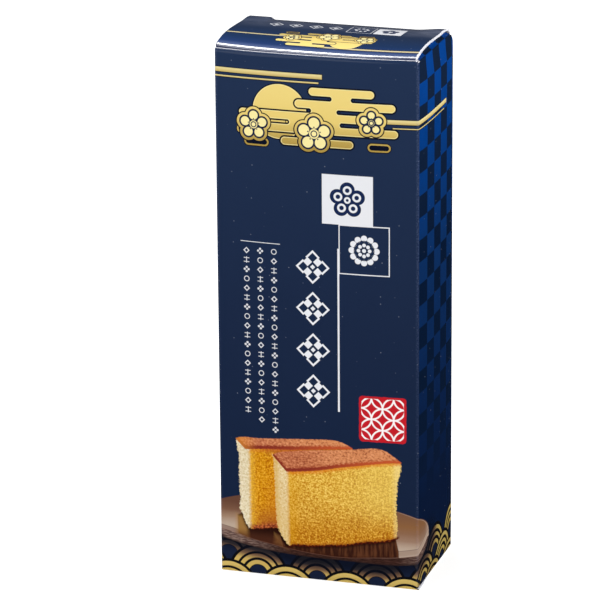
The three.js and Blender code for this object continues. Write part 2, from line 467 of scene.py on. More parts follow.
# %% [markdown]
# ## Writing a finish
#
# The print is drawn by the shader, from the artwork coordinates in millimetres, so its edges
# stay sharp at any distance. A number that varies over the surface is a Value: arithmetic on
# it adds Math nodes, and a Finish adds every other node through one method.

# %% Values and finishes
class Value:
    """A socket of a finish. Arithmetic on it adds Math nodes to that finish."""

    def __init__(self, finish, socket):
        self.finish, self.socket = finish, socket

    def math(self, operation, *others, clamp=False):
        return self.finish.math(operation, self, *others, clamp=clamp)

    def __abs__(self):
        return self.math("ABSOLUTE")


for sign, node_name in (("add", "ADD"), ("sub", "SUBTRACT"), ("mul", "MULTIPLY"),
                        ("truediv", "DIVIDE"), ("mod", "FLOORED_MODULO")):
    setattr(Value, f"__{sign}__", lambda a, b, name=node_name: a.finish.math(name, a, b))
    setattr(Value, f"__r{sign}__", lambda a, b, name=node_name: a.finish.math(name, b, a))


def ink(colour, light=1.0):
    """A screen colour such as "#c86428", made brighter or darker, as the light it stands for."""
    level = np.array([int(colour[i:i + 2], 16) for i in (1, 3, 5)]) * light / 255
    linear = np.where(level < 0.04045, level / 12.92, ((level + 0.055) / 1.055) ** 2.4)
    return (*linear.tolist(), 1.0)


class Finish:
    """A material that is being written, with the artwork coordinates u and v to start from."""

    def __init__(self, name):
        self.material = bpy.data.materials.new(name)
        self.material.use_nodes = True
        self.tree = self.material.node_tree
        self.shader = self.tree.nodes["Principled BSDF"]
        self.place = self.node("UVMap", {"uv_map": "artwork"})
        self.u, self.v = (self.node("SeparateXYZ", {}, {0: self.place}, axis) for axis in (0, 1))

    def node(self, kind, settings=None, inputs=None, output=0):
        """Any node: its settings come first, then the numbers, inks or links of its sockets."""
        node = self.tree.nodes.new("ShaderNode" + kind)
        for name, value in (settings or {}).items():
            if name == "stops":
                fill_ramp(node.color_ramp, value)
            elif name == "through":
                fill_curve(node.mapping, value)
            else:
                setattr(node, name, value)
        for key, value in (inputs or {}).items():
            self.fill(node.inputs[key], value)
        return Value(self, node.outputs[output])

    def fill(self, socket, value):
        if isinstance(value, Value):
            self.tree.links.new(value.socket, socket)
        else:
            socket.default_value = ink(value) if isinstance(value, str) else value

    def feed(self, **sockets):
        """Fills the shader's own sockets, named with underscores for spaces."""
        for name, value in sockets.items():
            self.fill(self.shader.inputs[name.replace("_", " ")], value)

    def math(self, operation, *values, clamp=False):
        settings = {"operation": operation, "use_clamp": clamp}
        return self.node("Math", settings, dict(enumerate(values)))

    def ramp(self, value, *stops):
        """A colour that follows a number from 0 to 1 through stops of (number, colour)."""
        return self.node("ValToRGB", {"stops": stops}, {0: value})

    def noise(self, size, detail=2.0, seed=0.0, stretch=(1, 1)):
        """Smooth noise from 0 to 1 with features about `size` millimetres across."""
        moved = self.node("Mapping", {}, {
            "Vector": self.place, "Location": (seed, 0.37 * seed, 0),
            "Scale": (1 / stretch[0], 1 / stretch[1], 1)})
        inputs = {"Vector": moved, "Scale": 1 / size, "Detail": detail}
        return self.node("TexNoise", {"noise_dimensions": "2D"}, inputs)

    def spots(self, per_mm, output="Distance"):
        """The distance to the nearest of many scattered points, or the colour of that point."""
        inputs = {"Vector": self.place, "Scale": per_mm}
        return self.node("TexVoronoi", {"voronoi_dimensions": "2D"}, inputs, output)


def fill_ramp(ramp, stops):
    """Sets a colour ramp from pairs of position and colour."""
    while len(ramp.elements) < len(stops):
        ramp.elements.new(1.0)
    for element, (position, colour) in zip(ramp.elements, stops):
        element.position = position
        element.color = ink(colour) if isinstance(colour, str) else colour


def fill_curve(mapping, points):
    """Sets a curve from points between 0 and 1, and keeps its ends level."""
    curve = mapping.curves[0]
    while len(curve.points) < len(points):
        curve.points.new(0.5, 0.5)
    for point, place in zip(curve.points, points):
        point.location = place
    mapping.extend = "HORIZONTAL"
    mapping.update()


def lay(colour, *layers):
    """Prints over a colour: each layer is a mask, and the ink that shows where the mask is 1."""
    for mask, over in layers:
        inputs = {0: mask, 6: colour, 7: over}
        colour = mask.finish.node("Mix", {"data_type": "RGBA"}, inputs, 2)
    return colour


# %% [markdown]
# ## Shapes of the print
#
# A shape is the distance to its edge: negative inside, positive outside. Distances are easy
# to combine: the least of several joins the shapes, the greatest keeps what they share, and a
# smaller or larger offset gives outlines. `inside` turns a distance into a mask whose edge is
# as soft as the spread of ink in board.

# %% Distances
INK_SPREAD = 0.1


def least(first, *others):
    for other in others:
        first = first.math("MINIMUM", other)
    return first


def greatest(first, *others):
    for other in others:
        first = first.math("MAXIMUM", other)
    return first


def length(x, y):
    """Distance from the origin of the point (x, y)."""
    point = x.finish.node("CombineXYZ", {}, {0: x, 1: y})
    return x.finish.node("VectorMath", {"operation": "LENGTH"}, {0: point}, "Value")


def box(x, y, half_x, half_y):
    return greatest(abs(x) - half_x, abs(y) - half_y)


def about_middle(u, v, left, right, low, high):
    """Coordinates about the middle of a box given by its four sides."""
    return u - (left + right) / 2, v - (low + high) / 2


def sides(u, v, left, right, low, high):
    """A box given by its four sides."""
    middle = about_middle(u, v, left, right, low, high)
    return box(*middle, (right - left) / 2, (high - low) / 2)


def bar(x, y, half_length, radius):
    """A level bar with round ends."""
    return length(greatest(abs(x) - half_length, 0), y) - radius


def polygon(u, v, corners):
    """A convex shape, corners anticlockwise: the largest distance to the lines of its sides."""
    lines = []
    for (u0, v0), (u1, v1) in zip(corners, corners[1:] + corners[:1]):
        side = hypot(u1 - u0, v1 - v0)
        across_u, across_v = (v1 - v0) / side, (u0 - u1) / side
        offset = -(u0 * across_u + v0 * across_v)
        line = v.math("MULTIPLY_ADD", across_v, offset)
        lines.append(u.math("MULTIPLY_ADD", across_u, line))
    return greatest(*lines)


def lozenge(x, y, half_x, half_y):
    """A diamond with its corners on the axes."""
    return (abs(x) * half_y + abs(y) * half_x - half_x * half_y) / hypot(half_x, half_y)


def inside(edge, spread=INK_SPREAD):
    """1 inside a shape and 0 outside, from the distance to its edge."""
    return edge.math("MULTIPLY_ADD", -1 / spread, 0.5, clamp=True)


def profile(along, points, size=64.0):
    """A smooth curve through points (along, height) in millimetres, read at `along`."""
    points = [(x / size, y / size) for x, y in points]
    return along.finish.node("FloatCurve", {"through": points}, {"Value": along / size}) * size


def rising(value, start, end):
    """0 below start, 1 above end, smooth between."""
    inputs = {"Value": value, "From Min": start, "From Max": end}
    return value.finish.node("MapRange", {"interpolation_type": "SMOOTHSTEP"}, inputs)


def falling(value, start, end):
    """1 below start, 0 above end, smooth between."""
    return 1 - rising(value, start, end)


def folded(x, period):
    """The distance to the nearest multiple of a period, from minus half to plus half of it."""
    return x.math("WRAP", period / 2, -period / 2)


def petals(x, y, count, reach, petal):
    """Round petals in a ring: the angle is folded into one petal's share of the turn."""
    angle = abs(folded(x.math("ARCTAN2", y), 2 * pi / count))
    radius = length(x, y)
    return length(radius * angle.math("COSINE") - reach, radius * angle.math("SINE")) - petal


# %% [markdown]
# ## Ground
#
# The navy ground gets a little deeper towards the foot. Under the varnish the board has a fine
# fibre grain, a few specks of dust have settled on it, and the ink is rubbed thin along the
# creases.

# %% Ground, dust and creases
NAVY_TOP, NAVY_MIDDLE, NAVY_FOOT = "#21304c", "#192640", "#121f38"
DARK_LINE, WHITE_INK, NAVY_INK = "#0c1121", "#dfe0e4", "#18264a"
DUST_PER_MM, SPECK = 0.17, 0.028


def ground(finish):
    """Navy from top to foot, with a slow mottle of the ink."""
    height = finish.v / HEIGHT + (finish.noise(14, 2, 3) - 0.5) * 0.06
    return finish.ramp(height, (0.02, NAVY_FOOT), (0.5, NAVY_MIDDLE), (1.0, NAVY_TOP))


def dust(finish, colour):
    """Pale specks: small discs round the feature points of a few cells."""
    tone = finish.spots(DUST_PER_MM, "Color")
    amount = finish.node("SeparateColor", {}, {0: tone}) - 0.55
    speck = inside(finish.spots(DUST_PER_MM) - SPECK, 0.02)
    return lay(colour, (speck * amount.math("MULTIPLY", 0.8, clamp=True), "#aab2c4"))


def rubbed(finish, colour, creases):
    """The ink worn thin in a narrow, broken strip along each crease."""
    near = least(*(abs(finish.u - crease) for crease in creases))
    broken = (finish.noise(0.5, 3, 11) * 4 - 1.5) * (0.1 + rising(finish.v, 40, 165) * 0.16)
    return lay(colour, (falling(near, 0.25, 1.0) * greatest(broken, 0), "#606c8e"))


def varnish(finish, colour, coat=0.15, coat_ior=1.6):
    """The printed face: ink on white board under a gloss varnish that follows the fibres."""
    grain = finish.noise(0.35, 3, 5)
    height = grain * 0.012 + finish.noise(9, 1, 8) * 0.10
    bump = finish.node("Bump", {}, {"Strength": 0.35, "Distance": MM, "Height": height})
    finish.feed(Base_Color=colour, Roughness=0.34 + grain * 0.1, Normal=bump)
    finish.feed(Specular_IOR_Level=0.0, Coat_Weight=coat, Coat_Roughness=0.08, Coat_IOR=coat_ior)
    print(f"{finish.material.name}: {len(finish.tree.nodes)} nodes")
    return finish.material


# %% [markdown]
# ## Gold ink
#
# The gold is a yellow ink with a slow gradient, not a metal foil. Each gold shape has a pale
# rim and a dark keyline round it, which lifts it off the ground.

# %% Gold shapes
GOLD_PALE, GOLD, GOLD_DEEP = "#eee0a0", "#dec470", "#a0843e"


def lay_gold(colour, edge, fill, keyline=0.34):
    """A dark keyline, then the gold fill, then its pale rim."""
    return lay(colour, (inside(edge - keyline), DARK_LINE), (inside(edge), fill),
               (inside(abs(edge + 0.14) - 0.09), GOLD_PALE))


def gold_rules(colour, u, v, rules):
    """Straight gold rules: each has its two ends and its lower and upper edge."""
    for left, right, low, high in rules:
        edge = sides(u, v, left, right, low, high)
        shine = lay("#c8b06c", (rising(v, low, high), "#dece92"))
        colour = lay(colour, (inside(edge - 0.22, 0.2), DARK_LINE), (inside(edge), shine))
    return colour


# %% [markdown]
# ## Sun and mist
#
# The head of the carton carries a traditional picture in gold: a rising sun behind level banks
# of mist, with three plum blossoms. Mist is drawn as bars with round ends, joined by short
# necks whose sides are hollow.

# %% Sun and mist
SUN = (20.6, 151.6, 8.6)       # centre, radius
MIST = [(30.0, 50.5, 158.6), (25.5, 57.0, 154.6), (7.5, 46.0, 150.6), (13.5, 57.8, 146.6),
        (21.0, 44.0, 142.6)]   # left end, right end, height
NECKS = [(36.5, 44.0), (30.0, 39.5), (23.0, 40.5), (28.0, 36.5)]  # ends, between two bars
OUTLINED_MIST = [(6.8, 13.0, 145.2), (48.5, 55.5, 142.2), (9.2, 17.0, 141.6), (46.6, 52.6, 150.6)]
BLOSSOMS = [(12.2, 146.9, 1.0), (49.6, 149.9, 0.82), (31.6, 145.4, 1.16)]  # centre, size
MIST_RADIUS, MIST_STEP = 1.25, 4.0


def mist_bar(u, v, left, right, height):
    return bar(u - (left + right) / 2, v - height, (right - left) / 2 - MIST_RADIUS, MIST_RADIUS)


def mist(u, v):
    """Bars with round ends, joined by necks that a disc hollows out at each side."""
    hollow = MIST_STEP / 2 - MIST_RADIUS + 0.02
    parts = [mist_bar(u, v, *place) for place in MIST]
    for (left, right), (_, _, height) in zip(NECKS, MIST):
        x, y, half = u - (left + right) / 2, v - (height - MIST_STEP / 2), (right - left) / 2
        parts.append(greatest(box(x, y, half, MIST_STEP / 2 - MIST_RADIUS / 2),
                              hollow - length(abs(x) - half, y)))
    return least(*parts)


def blossom(colour, x, y, size, fill):
    """A plum blossom: five round petals with a gold edge, dark band, gold heart and stamens."""
    edge = least(petals(x, y, 5, 2.9 * size, 1.95 * size), length(x, y) - 1.8 * size)
    stamens = petals(x, y, 10, 1.75 * size, 0.2 * size)
    heart = abs(length(x, y) - 0.8 * size) - 0.17
    return lay(colour, (inside(edge - 1.1), DARK_LINE), (inside(edge - 0.75), fill),
               (inside(edge), "#18223e"), (inside(edge + 0.55), "#f0e29e"),
               (inside(least(stamens, heart)), "#222c48"))


def sun_and_mist(finish, colour, u, v):
    """The whole gold picture, on coordinates of its own so that the lid can carry it small."""
    fill = finish.ramp(rising(v, 138, 162) + (finish.noise(0.5, 2, 21) - 0.5) * 0.08,
                       (0.0, GOLD_DEEP), (0.45, GOLD), (1.0, "#e6ce7c"))
    for place in OUTLINED_MIST:
        edge = mist_bar(u, v, *place)
        outline = abs(edge + 0.2) - 0.26
        colour = lay(colour, (inside(edge - 0.35), DARK_LINE), (inside(outline), fill))
    colour = lay_gold(colour, length(u - SUN[0], v - SUN[1]) - SUN[2], fill)
    colour = lay_gold(colour, mist(u, v), fill, 0.5)
    for at_u, at_v, size in BLOSSOMS:
        colour = blossom(colour, u - at_u, v - at_v, size, fill)
    return colour


# %% [markdown]
# ## White motifs
#
# Down the front run a white square with a navy flower, an outlined square with a white one,
# four lozenge crests, a rule, and three columns of very small ornaments.

# %% White motifs
PLUM_SQUARE, STAR_SQUARE = (34.0, 50.06, 117.31, 133.05), (39.4, 55.1, 101.76, 117.2)  # four sides
CREST_U, CREST_V, CREST_STEP = 30.9, 103.1, 13.37
CREST_AREA = (25.4, 36.4, 56.55, 109.55)      # four sides: the crests show only in here
# Each column has its u, its top, its number of steps and its first kind of ornament.
COLUMNS = [(18.4, 106.9, 19, 0), (13.9, 106.8, 18, 1), (9.4, 106.6, 17, 3)]
COLUMN_PITCH = 3.05
WHITE_RULES = [(38.81, 39.39, 56.9, 109.6), (7.5, 20.4, 109.4, 109.6)]


def plum_flower(x, y):
    """A blossom whose petals and heart are parted by veins."""
    veins, heart = petals(x, y, 5, 3.1, 1.05), length(x, y) - 0.75
    flower = least(petals(x, y, 5, 3.35, 2.35), length(x, y) - 2.4)
    return greatest(flower, 0.34 - abs(veins), 0.3 - abs(heart))


def star_square(u, v):
    """An outlined square with a chrysanthemum of twelve petals."""
    outline, (x, y) = sides(u, v, *STAR_SQUARE), about_middle(u, v, *STAR_SQUARE)
    rings = least(petals(x, y, 12, 3.9, 0.98), petals(x, y, 8, 1.75, 0.58), length(x, y) - 0.62)
    return least(abs(outline) - 0.16, greatest(rings, 0.14 - abs(length(x, y) - 3.1)))


def crests(u, v):
    """Crests one under the other: a lozenge of four petals inside a broken lozenge ring."""
    x, y = u - CREST_U, folded((v - CREST_V) / CREST_STEP, 1.0) * CREST_STEP
    leaf = lozenge(abs(x) - 1.62, abs(y) - 1.62, 1.45, 1.45)
    ring = greatest(abs(lozenge(x, y, 5.0, 5.0)) - 0.3, 0.85 - abs(abs(x) - abs(y)))
    return greatest(least(leaf, ring, lozenge(x, y, 0.8, 0.8)), sides(u, v, *CREST_AREA))


def tiny_columns(u, v):
    """Columns of tiny ornaments, four kinds in turn: ring, flower, crossed dashes, lozenge."""
    columns = []
    for at, top, steps, first in COLUMNS:
        x, row = u - at, (v - top) / COLUMN_PITCH
        y = folded(row, 1.0) * COLUMN_PITCH
        kinds = (abs(length(x, y) - 0.78) - 0.13, petals(x, y, 4, 0.64, 0.36),
                 least(box(x, abs(y) - 0.62, 0.9, 0.12), box(x, y, 0.13, 1.0)),
                 abs(lozenge(x, y, 1.2, 1.2) + 0.28) - 0.16)
        low, high = top - (steps + 0.5) * COLUMN_PITCH, top + COLUMN_PITCH / 2
        columns.append(greatest(chosen((row.math("ROUND") + first) % 4, kinds),
                                sides(u, v, at - 2, at + 2, low, high)))
    return least(*columns)


def chosen(number, choices):
    """The choice that a number picks, from 0 upwards."""
    result = choices[0]
    for count, choice in enumerate(choices[1:]):
        result = result + (choice - result) * number.math("GREATER_THAN", count + 0.5)
    return result


def white_motifs(colour, u, v):
    """The two squares, the crests, the columns and the two rules."""
    flower = plum_flower(*about_middle(u, v, *PLUM_SQUARE))
    rules = least(*(sides(u, v, *rule) for rule in WHITE_RULES))
    return lay(colour, (inside(sides(u, v, *PLUM_SQUARE)), WHITE_INK), (inside(flower), NAVY_INK),
               (inside(star_square(u, v)), WHITE_INK), (inside(crests(u, v)), WHITE_INK),
               (inside(tiny_columns(u, v)) * 0.88, WHITE_INK), (inside(rules), WHITE_INK))


# %% [markdown]
# ## Seal
#
# A red square seal with the linked-circle pattern in white.

# %% Seal
SEAL_U, SEAL_V, SEAL_RING = 52.95, 55.33, 3.5


def seal(finish, colour, u, v):
    """Linked circles: rings about the corners and the middles of a square mesh."""
    x, y, r = u - SEAL_U, v - SEAL_V, SEAL_RING
    uneven = (finish.noise(1.4, 2, 31) - 0.5) * 0.35
    edge = length(greatest(abs(x) - 6.3, 0), greatest(abs(y) - 6.3, 0)) - 1.15 + uneven
    x, y = folded(x, 2 * r), folded(y, 2 * r)
    rings = least(abs(length(x, y) - r), abs(length(abs(x) - r, abs(y) - r) - r)) - 0.27
    beads = least(lozenge(abs(x) - r, y, 0.62, 0.62), lozenge(x, abs(y) - r, 0.62, 0.62))
    lines = greatest(least(rings, beads), edge + 0.75)
    return lay(colour, (inside(edge), "#ba1c26"), (inside(lines), "#f0e8e8"))


# %% [markdown]
# ## Waves
#
# Round the foot of the carton run three rows of the traditional wave pattern: each wave is a
# fan of gold rings, and a lower row stands in front of the one above. The plate's shadow lies
# on the upper rows: their gold turns brown towards the plate, and nearly black right under it.

# %% Waves
WAVE_PERIOD, WAVE_RISE = 19.5, 5.75
WAVE_FIRST = (2.0, -6.05)          # centre of one wave of the lowest row
WAVE_RADIUS, WAVE_HEART = 9.85, 3.0
WAVE_RINGS = [(7.5, 8.95), (5.42, 6.7), (3.2, 4.55)]
SHADOW = "#080c18"
PLATE = (33.0, 17.0)               # its middle
PLATE_HALF = (41.2, 11.4, 10.0)    # half its width, and its reach above and below the middle


def plate_reach(u, v):
    """0 in the middle of the plate and 1 at its edge; the plate sinks a little to the right."""
    y, sink = v - PLATE[1], rising(u, 36, 66)
    above, below = (y + sink * 1.1) / PLATE_HALF[1], (y + sink * 2.2) / -PLATE_HALF[2]
    return length((u - PLATE[0]) / PLATE_HALF[0], greatest(above, below))


def plate_lip(u):
    """Height of the line on which the plate's glaze turns over into its rim."""
    return profile(u, [
        (0, 13.8), (5.8, 12.5), (10, 11.3), (15, 10.4), (20, 9.6), (25, 8.9), (30, 8.4), (40, 8.1),
        (50, 9.0), (57.5, 9.8), (62.5, 10.8), (68, 12.3), (73, 14.5)], 80.0)


def waves(finish, colour, u, v, light=1.0, thinner=0.0):
    """Row by row from the top one down, with the rings by the distance to the nearest centre."""
    # light scales every tone of the waves; below 1 it paints shade over them, as on the side
    # panels.
    def tone(colour):
        return ink(colour, light)

    away = (plate_reach(u, v) - 1) * PLATE_HALF[2] + rising(u, 76, 88) * 3.5
    away = away + 0.3 - rising(u, 12, 26) * falling(u, 52, 62) * 1.6
    shade = falling(away, 0, 4) * falling(v, 15, 22) * 0.75
    grain = (finish.noise(0.5, 2, 21) - 0.5) * 0.14
    shaded = finish.ramp(
        away / 6.0, (0.0, tone("#18181e")), (0.2, tone("#2a2528")), (0.45, tone("#70543e")),
        (0.7, tone("#bea05a")), (1.0, tone("#c6aa58")))
    ends = rising(u, 64.3, 65) * falling(u, 74, 84)
    low = lay(tone("#ba9c4c"), (ends * 0.45, tone("#7a5f4a")))
    colour = lay(colour, (shade, SHADOW))
    for row in (2, 1, 0):
        x = folded(u - (WAVE_FIRST[0] + row * WAVE_PERIOD / 2), WAVE_PERIOD)
        y = v - (WAVE_FIRST[1] + row * WAVE_RISE)
        radius = length(x, y)
        gleam = rising(y, WAVE_RADIUS * 0.25, WAVE_RADIUS) + grain
        bright = rising(away, 3.5, 7) if row else 1 - ends
        rings = least(*(abs(radius - (inner + outer) / 2) - ((outer - inner) / 2 - thinner)
                        for inner, outer in WAVE_RINGS))
        heart = lay(tone("#0c0d12"), (inside(radius - WAVE_HEART, 0.3), tone("#161f36")))
        if row:
            heart = lay(heart, (shade, SHADOW))
        ringed = lay(shaded if row else low, (gleam * bright * 0.4, tone("#e2ca80")))
        colour = lay(colour, (inside(radius - WAVE_RADIUS), lay(heart, (inside(rings), ringed))))
    return colour


# %% [markdown]
# ## Plate
#
# A brown glazed plate on which the cake stands. It is a shallow ellipse that wraps a little
# round both creases. The glaze is dark behind and pale in front. A fine dark line parts it from
# a paler strip, which turns over at the lip into a dark, grained rim.

# %% Plate
def plate(finish, colour, u, v):
    """The glaze by height, then the strip and the rim by the height above the lip."""
    out, above = plate_reach(u, v), v - plate_lip(u)
    left = finish.ramp(
        falling(v, 14.5, 24.5) + (finish.noise(7, 2, 41) - 0.5) * 0.2,
        (0.0, "#604032"), (0.35, "#745240"), (0.7, "#967a64"),
        (1.0, "#b09c8a"))
    right = finish.ramp(
        falling(v, 11.5, 25.5), (0.0, "#76523c"), (0.3, "#845b39"),
        (0.55, "#86624a"), (0.8, "#947662"), (1.0, "#b6a290"))
    strip = lay("#8c7468", (rising(u, 2, 10), "#5a3626"),
                (rising(u, 40, 58), "#9e8878"),
                (falling(above, 0.1, 0.9) * rising(u, 50, 58) * 0.5, "#b8a496"))
    grain = rising(finish.noise(0.4, 3, 43, (5, 1)), 0.35, 0.7)
    ends = falling(u, 0, 24) + rising(u, 56, 66) * 0.6
    rim = lay(lay("#2e1b16", (grain * 0.7, "#4a2f28")),
              (ends, lay("#543e3a", (grain * 0.8, "#967e72"))),
              (rising(out, 0.93, 1.0) * 0.8, "#241a1a"))
    below_glaze = above - (rising(u, 40, 58) * 0.85 + 1.35)
    edge = inside(abs(out - 0.987) - 0.002, 0.012) * rising(u, 54, 60) * rising(v, 15, 17)
    face = lay(left, (rising(u, 40, 56), right),
               (rising(u, 64, 66) * falling(u, 70, 74) * 0.3, "#563e2e"),
               (rising(u, 70, 74.5) * 0.5, "#a6968a"),
               (inside(below_glaze, 0.2), strip),
               (inside(abs(below_glaze) - 0.08, 0.15) * 0.7, "#58423a"),
               (inside(above), rim),
               (inside(abs(above) - 0.07, 0.15) * 0.55, "#966c5a"),
               (edge * 0.7, "#beaa9c"))
    return lay(colour, (inside((out - 1) * 12, 0.2), face))


# %% [markdown]
# ## Cake
#
# Two slices of sponge cake stand on the plate, one half behind the other. Each has a brown
# crust on top, a pale cut end at the left and a yellow crumb with fine pores. The outlines are
# smooth lines through a few points, and noise roughens those that run through the crumb.

# %% Crumb and crust
def crumb(finish, dark, middle, light, seed):
    """Sponge: fine pores between soft bright walls, with larger round pits here and there."""
    tone = 0.54 + (finish.noise(0.56, 2, seed) - 0.5) * 1.5
    tone = tone + (finish.noise(1.3, 2, seed + 1) - 0.5) * 0.5
    tone = tone + (finish.noise(7, 2, seed + 3) - 0.5) * 0.3
    tone = tone - falling(finish.spots(0.7), 0.1, 0.42) * 0.22
    return finish.ramp(tone, (0.1, dark), (0.5, middle), (0.9, light))


def crust(finish, above_lower, shift, seed):
    """Baked crust, lighter to the right, with a dark red band over its lower edge."""
    fine = finish.noise(0.62, 3, seed, (1.3, 1)) - 0.5
    slow = finish.noise(4, 2, seed + 2, (2.5, 1)) - 0.5
    along = finish.u + shift
    pitted = 0.5 + fine * 2.6 + slow * 0.7
    band = lay("#7c2a20", (rising(along, 26, 56), "#ba502a"))
    uneven = above_lower + fine + rising(along, 36, 56) * 0.4
    return lay("#b66a47", (rising(along, 22, 44), "#cb8254"),
               (falling(pitted, -0.1, 0.5) * 0.75, "#843a24"),
               (rising(pitted, 0.5, 1.1) * 0.5, "#e6a476"),
               (falling(uneven, 1.0, 2.2) * 0.55, "#a84e2e"),
               (falling(uneven, 0.9, 1.6) * 0.95, band),
               (falling(uneven, -0.1, 0.4) * 0.5, "#c86028"))


# %% Back slice
def back_slice(finish, colour, u, v, rough):
    """The slice behind: its reflection in the plate, pale end, orange face and crust."""
    shade = polygon(u, v, [(5.2, 19), (5.4, 9), (22, 6), (23, 17), (9, 21)])
    shade = greatest(shade, plate_lip(u) - v)
    tan = least(polygon(u, v, [(5.2, 18.6), (5.0, 13.0), (8.4, 11.8), (8.0, 14.6), (6.4, 18.4)]),
                polygon(u, v, [(17.8, 13.0), (17.6, 10.8), (21.0, 9.6), (20.4, 11.6)]))
    up = rising(v, 11.5, 15)
    colour = lay(colour, (inside(shade, 0.5), lay("#422216", (up, "#26100a"))),
                 (inside(tan - 0.3 + rough * 0.3, 1.6) * 0.75,
                  lay("#704828", (up, "#a67a40"))))

    foot = profile(u, [(5, 17), (7, 15.6), (9, 14.8), (12, 14.9), (15, 15.5), (18, 15.9), (24, 17)])
    under_crust = greatest(49.3 - u * 0.98, profile(u, [
        (5, 41.0), (8, 41.3), (10, 41.5), (15, 42.1), (20, 42.5), (25, 42.9), (30, 43.5),
        (35, 44.1), (43.3, 44.9)]))
    left = profile(v, [(14.6, 8.9), (16, 8.2), (18, 7.3), (19.5, 6.9), (21, 6.0), (24, 6.1),
                       (36, 5.9), (39, 6.1), (41, 5.6), (44, 5.2)])
    over = profile(u, [(5, 44.6), (6.2, 45.1), (12.5, 45.5), (24, 46.5), (30, 46.95), (35, 47.3),
                       (38.5, 47.15), (41, 46.4), (43.3, 45.2)])
    body = greatest(left - u, u - 43.1, foot - v, v - under_crust - 0.3)
    top = greatest(under_crust - v, v - over, 5.0 - u, u - 43.3)

    pale = crumb(finish, "#c8b48a", "#d8c9a6", "#e6dbc0", 51)
    crumbled = lay("#702e1c", (rising(finish.noise(0.7, 2, 55), 0.4, 0.65), "#ba6232"))
    warm = lay(crumb(finish, "#a65808", "#cc8a10", "#e4ac32", 53),
               (rising(u, 12, 19) * falling(v, 20, 40) * 0.6, "#b25c12"),
               (rising(u, 13, 19) * rising(v, 39, 42.2) * 0.8, crumbled),
               (falling(v, 16, 25) * (rising(u, 10, 14) * 0.55 + 0.12), "#964a20"),
               (falling(u + rough, 9.8, 12.2) * 0.5, "#deb03e"))
    turn = rising(u + rough * 0.7, 8.7, 10.2)
    face = lay(pale, (turn, warm),
               (falling(v - foot + rough, 0.6, 2.4) * rising(u, 8.2, 11), crumbled))
    glow = inside(abs(v - under_crust + 0.5) - 0.4 + rough, 0.8) * inside(body, 0.4) * turn
    baked = lay(crust(finish, v - under_crust, 12, 57), (falling(u, 6, 13) * 0.6, "#d48634"))
    return lay(colour, (inside(body - 0.35 + rough * 0.7, 0.5) * falling(v, 18, 20), "#300e08"),
               (inside(body + rough, 0.3), face), (glow * 0.6, "#c46a22"),
               (inside(top + rough * 0.25, 0.22), baked))


# %% Front slice
def front_slice(finish, colour, u, v, rough):
    """The slice in front: its reflection in the plate, pale end, crumb face and crust."""
    foot = profile(u, [(18, 14.5), (20, 12.2), (22, 10.1), (23.5, 10.8), (27, 11.0), (31, 11.3),
                       (36, 12.0), (40, 12.4), (46, 13.9), (50, 14.5), (56, 15.9), (58, 16.9)])
    under_crust = greatest(59.9 - u * 1.136, profile(u, [
        (17, 34.9), (21.6, 35.3), (24, 35.5), (28, 36.0), (33.4, 36.95), (38.7, 38.2), (44, 39.25),
        (49.4, 40.3), (54.8, 41.1), (58.8, 41.4)]))
    left = profile(v, [(10.2, 22.0), (12, 20.6), (14, 19.3), (17, 18.3), (20, 18.0), (30, 17.8),
                       (36, 17.6), (40, 17.2)])
    right = profile(v, [(16, 57.2), (20, 57.4), (26, 57.1), (32, 57.4), (36, 57.8), (38.5, 58.5),
                        (42, 58.7)])
    over = profile(u, [(17.1, 40.3), (18, 41.0), (20, 41.7), (24, 42.4), (30, 43.25), (36, 43.9),
                       (43, 44.75), (48, 45.5), (51, 45.7), (53.5, 45.2), (56, 43.7), (58.8, 41.6)])
    body = greatest(left - u, u - right, foot - v, v - under_crust - 0.3)
    top = greatest(under_crust - v, v - over, 17.1 - u, u - 58.8)

    mirror = polygon(u, v, [(19, 14), (21, 6), (58.0, 6), (57.8, 12), (56.6, 17.5)])
    streaks = rising(finish.noise(0.9, 3, 61, (1, 7)), 0.3, 0.75)
    glow = lay("#321810", (streaks, "#5a3420"),
               (falling(foot - v, 0.2, 1.8), "#1e0a06"),
               (falling(v - plate_lip(u), 0.1, 0.8) * 0.6, "#34160e"))
    line = inside(body - 0.5 + rough, 0.5) * rising(u, 21, 23) * falling(v - foot, 0.0, 0.8)

    pale = lay(crumb(finish, "#caa668", "#d9c08e", "#e6d4ac", 63),
               (falling(u + rough * 0.5, 18.2, 20) * 0.55, "#cea042"),
               (falling(v, 18, 30) * 0.4, "#d0ac62"))
    lower = crumb(finish, "#98500c", "#ba7c18", "#deaa3e", 65)
    face = lay(crumb(finish, "#b27016", "#d4a438", "#eece6c", 65),
               (falling(v, 13, 31), lower),
               (rising(u, 34, 56) * rising(v, 16, 30) * 0.35, "#e8d06c"),
               (falling(u + rough, 23, 27) * 0.4, "#ce9214"),
               (rising(u + rough, 55.5, 57.5) * 0.45, "#f0dc96"),
               (falling(under_crust - v + rough, 0.1, 1.4) * 0.75, "#d0741a"),
               (falling(v - foot + rough, 0.0, 0.9) * 0.7, "#964814"))
    whole = lay(pale, (rising(u + rough * 0.35, 21.3, 22.8), face))
    return lay(colour, (inside(greatest(mirror, plate_lip(u) - v), 0.3), glow),
               (line, "#4c180c"), (inside(body + rough, 0.3), whole),
               (inside(top + rough * 0.25, 0.22), crust(finish, v - under_crust, 0, 69)))


# %% [markdown]
# ## The front
#
# The layers of the front are printed in order: ground, waves, plate, cake, then the gold
# picture and the white motifs.

# %% Front finish
RULES = [(51.9, 93.5, 149.85, 151.2), (56.2, 90.7, 148.4, 148.7),
         (-29.5, 34.2, 162.6, 164.0), (-26.7, 33.1, 161.1, 161.55)]


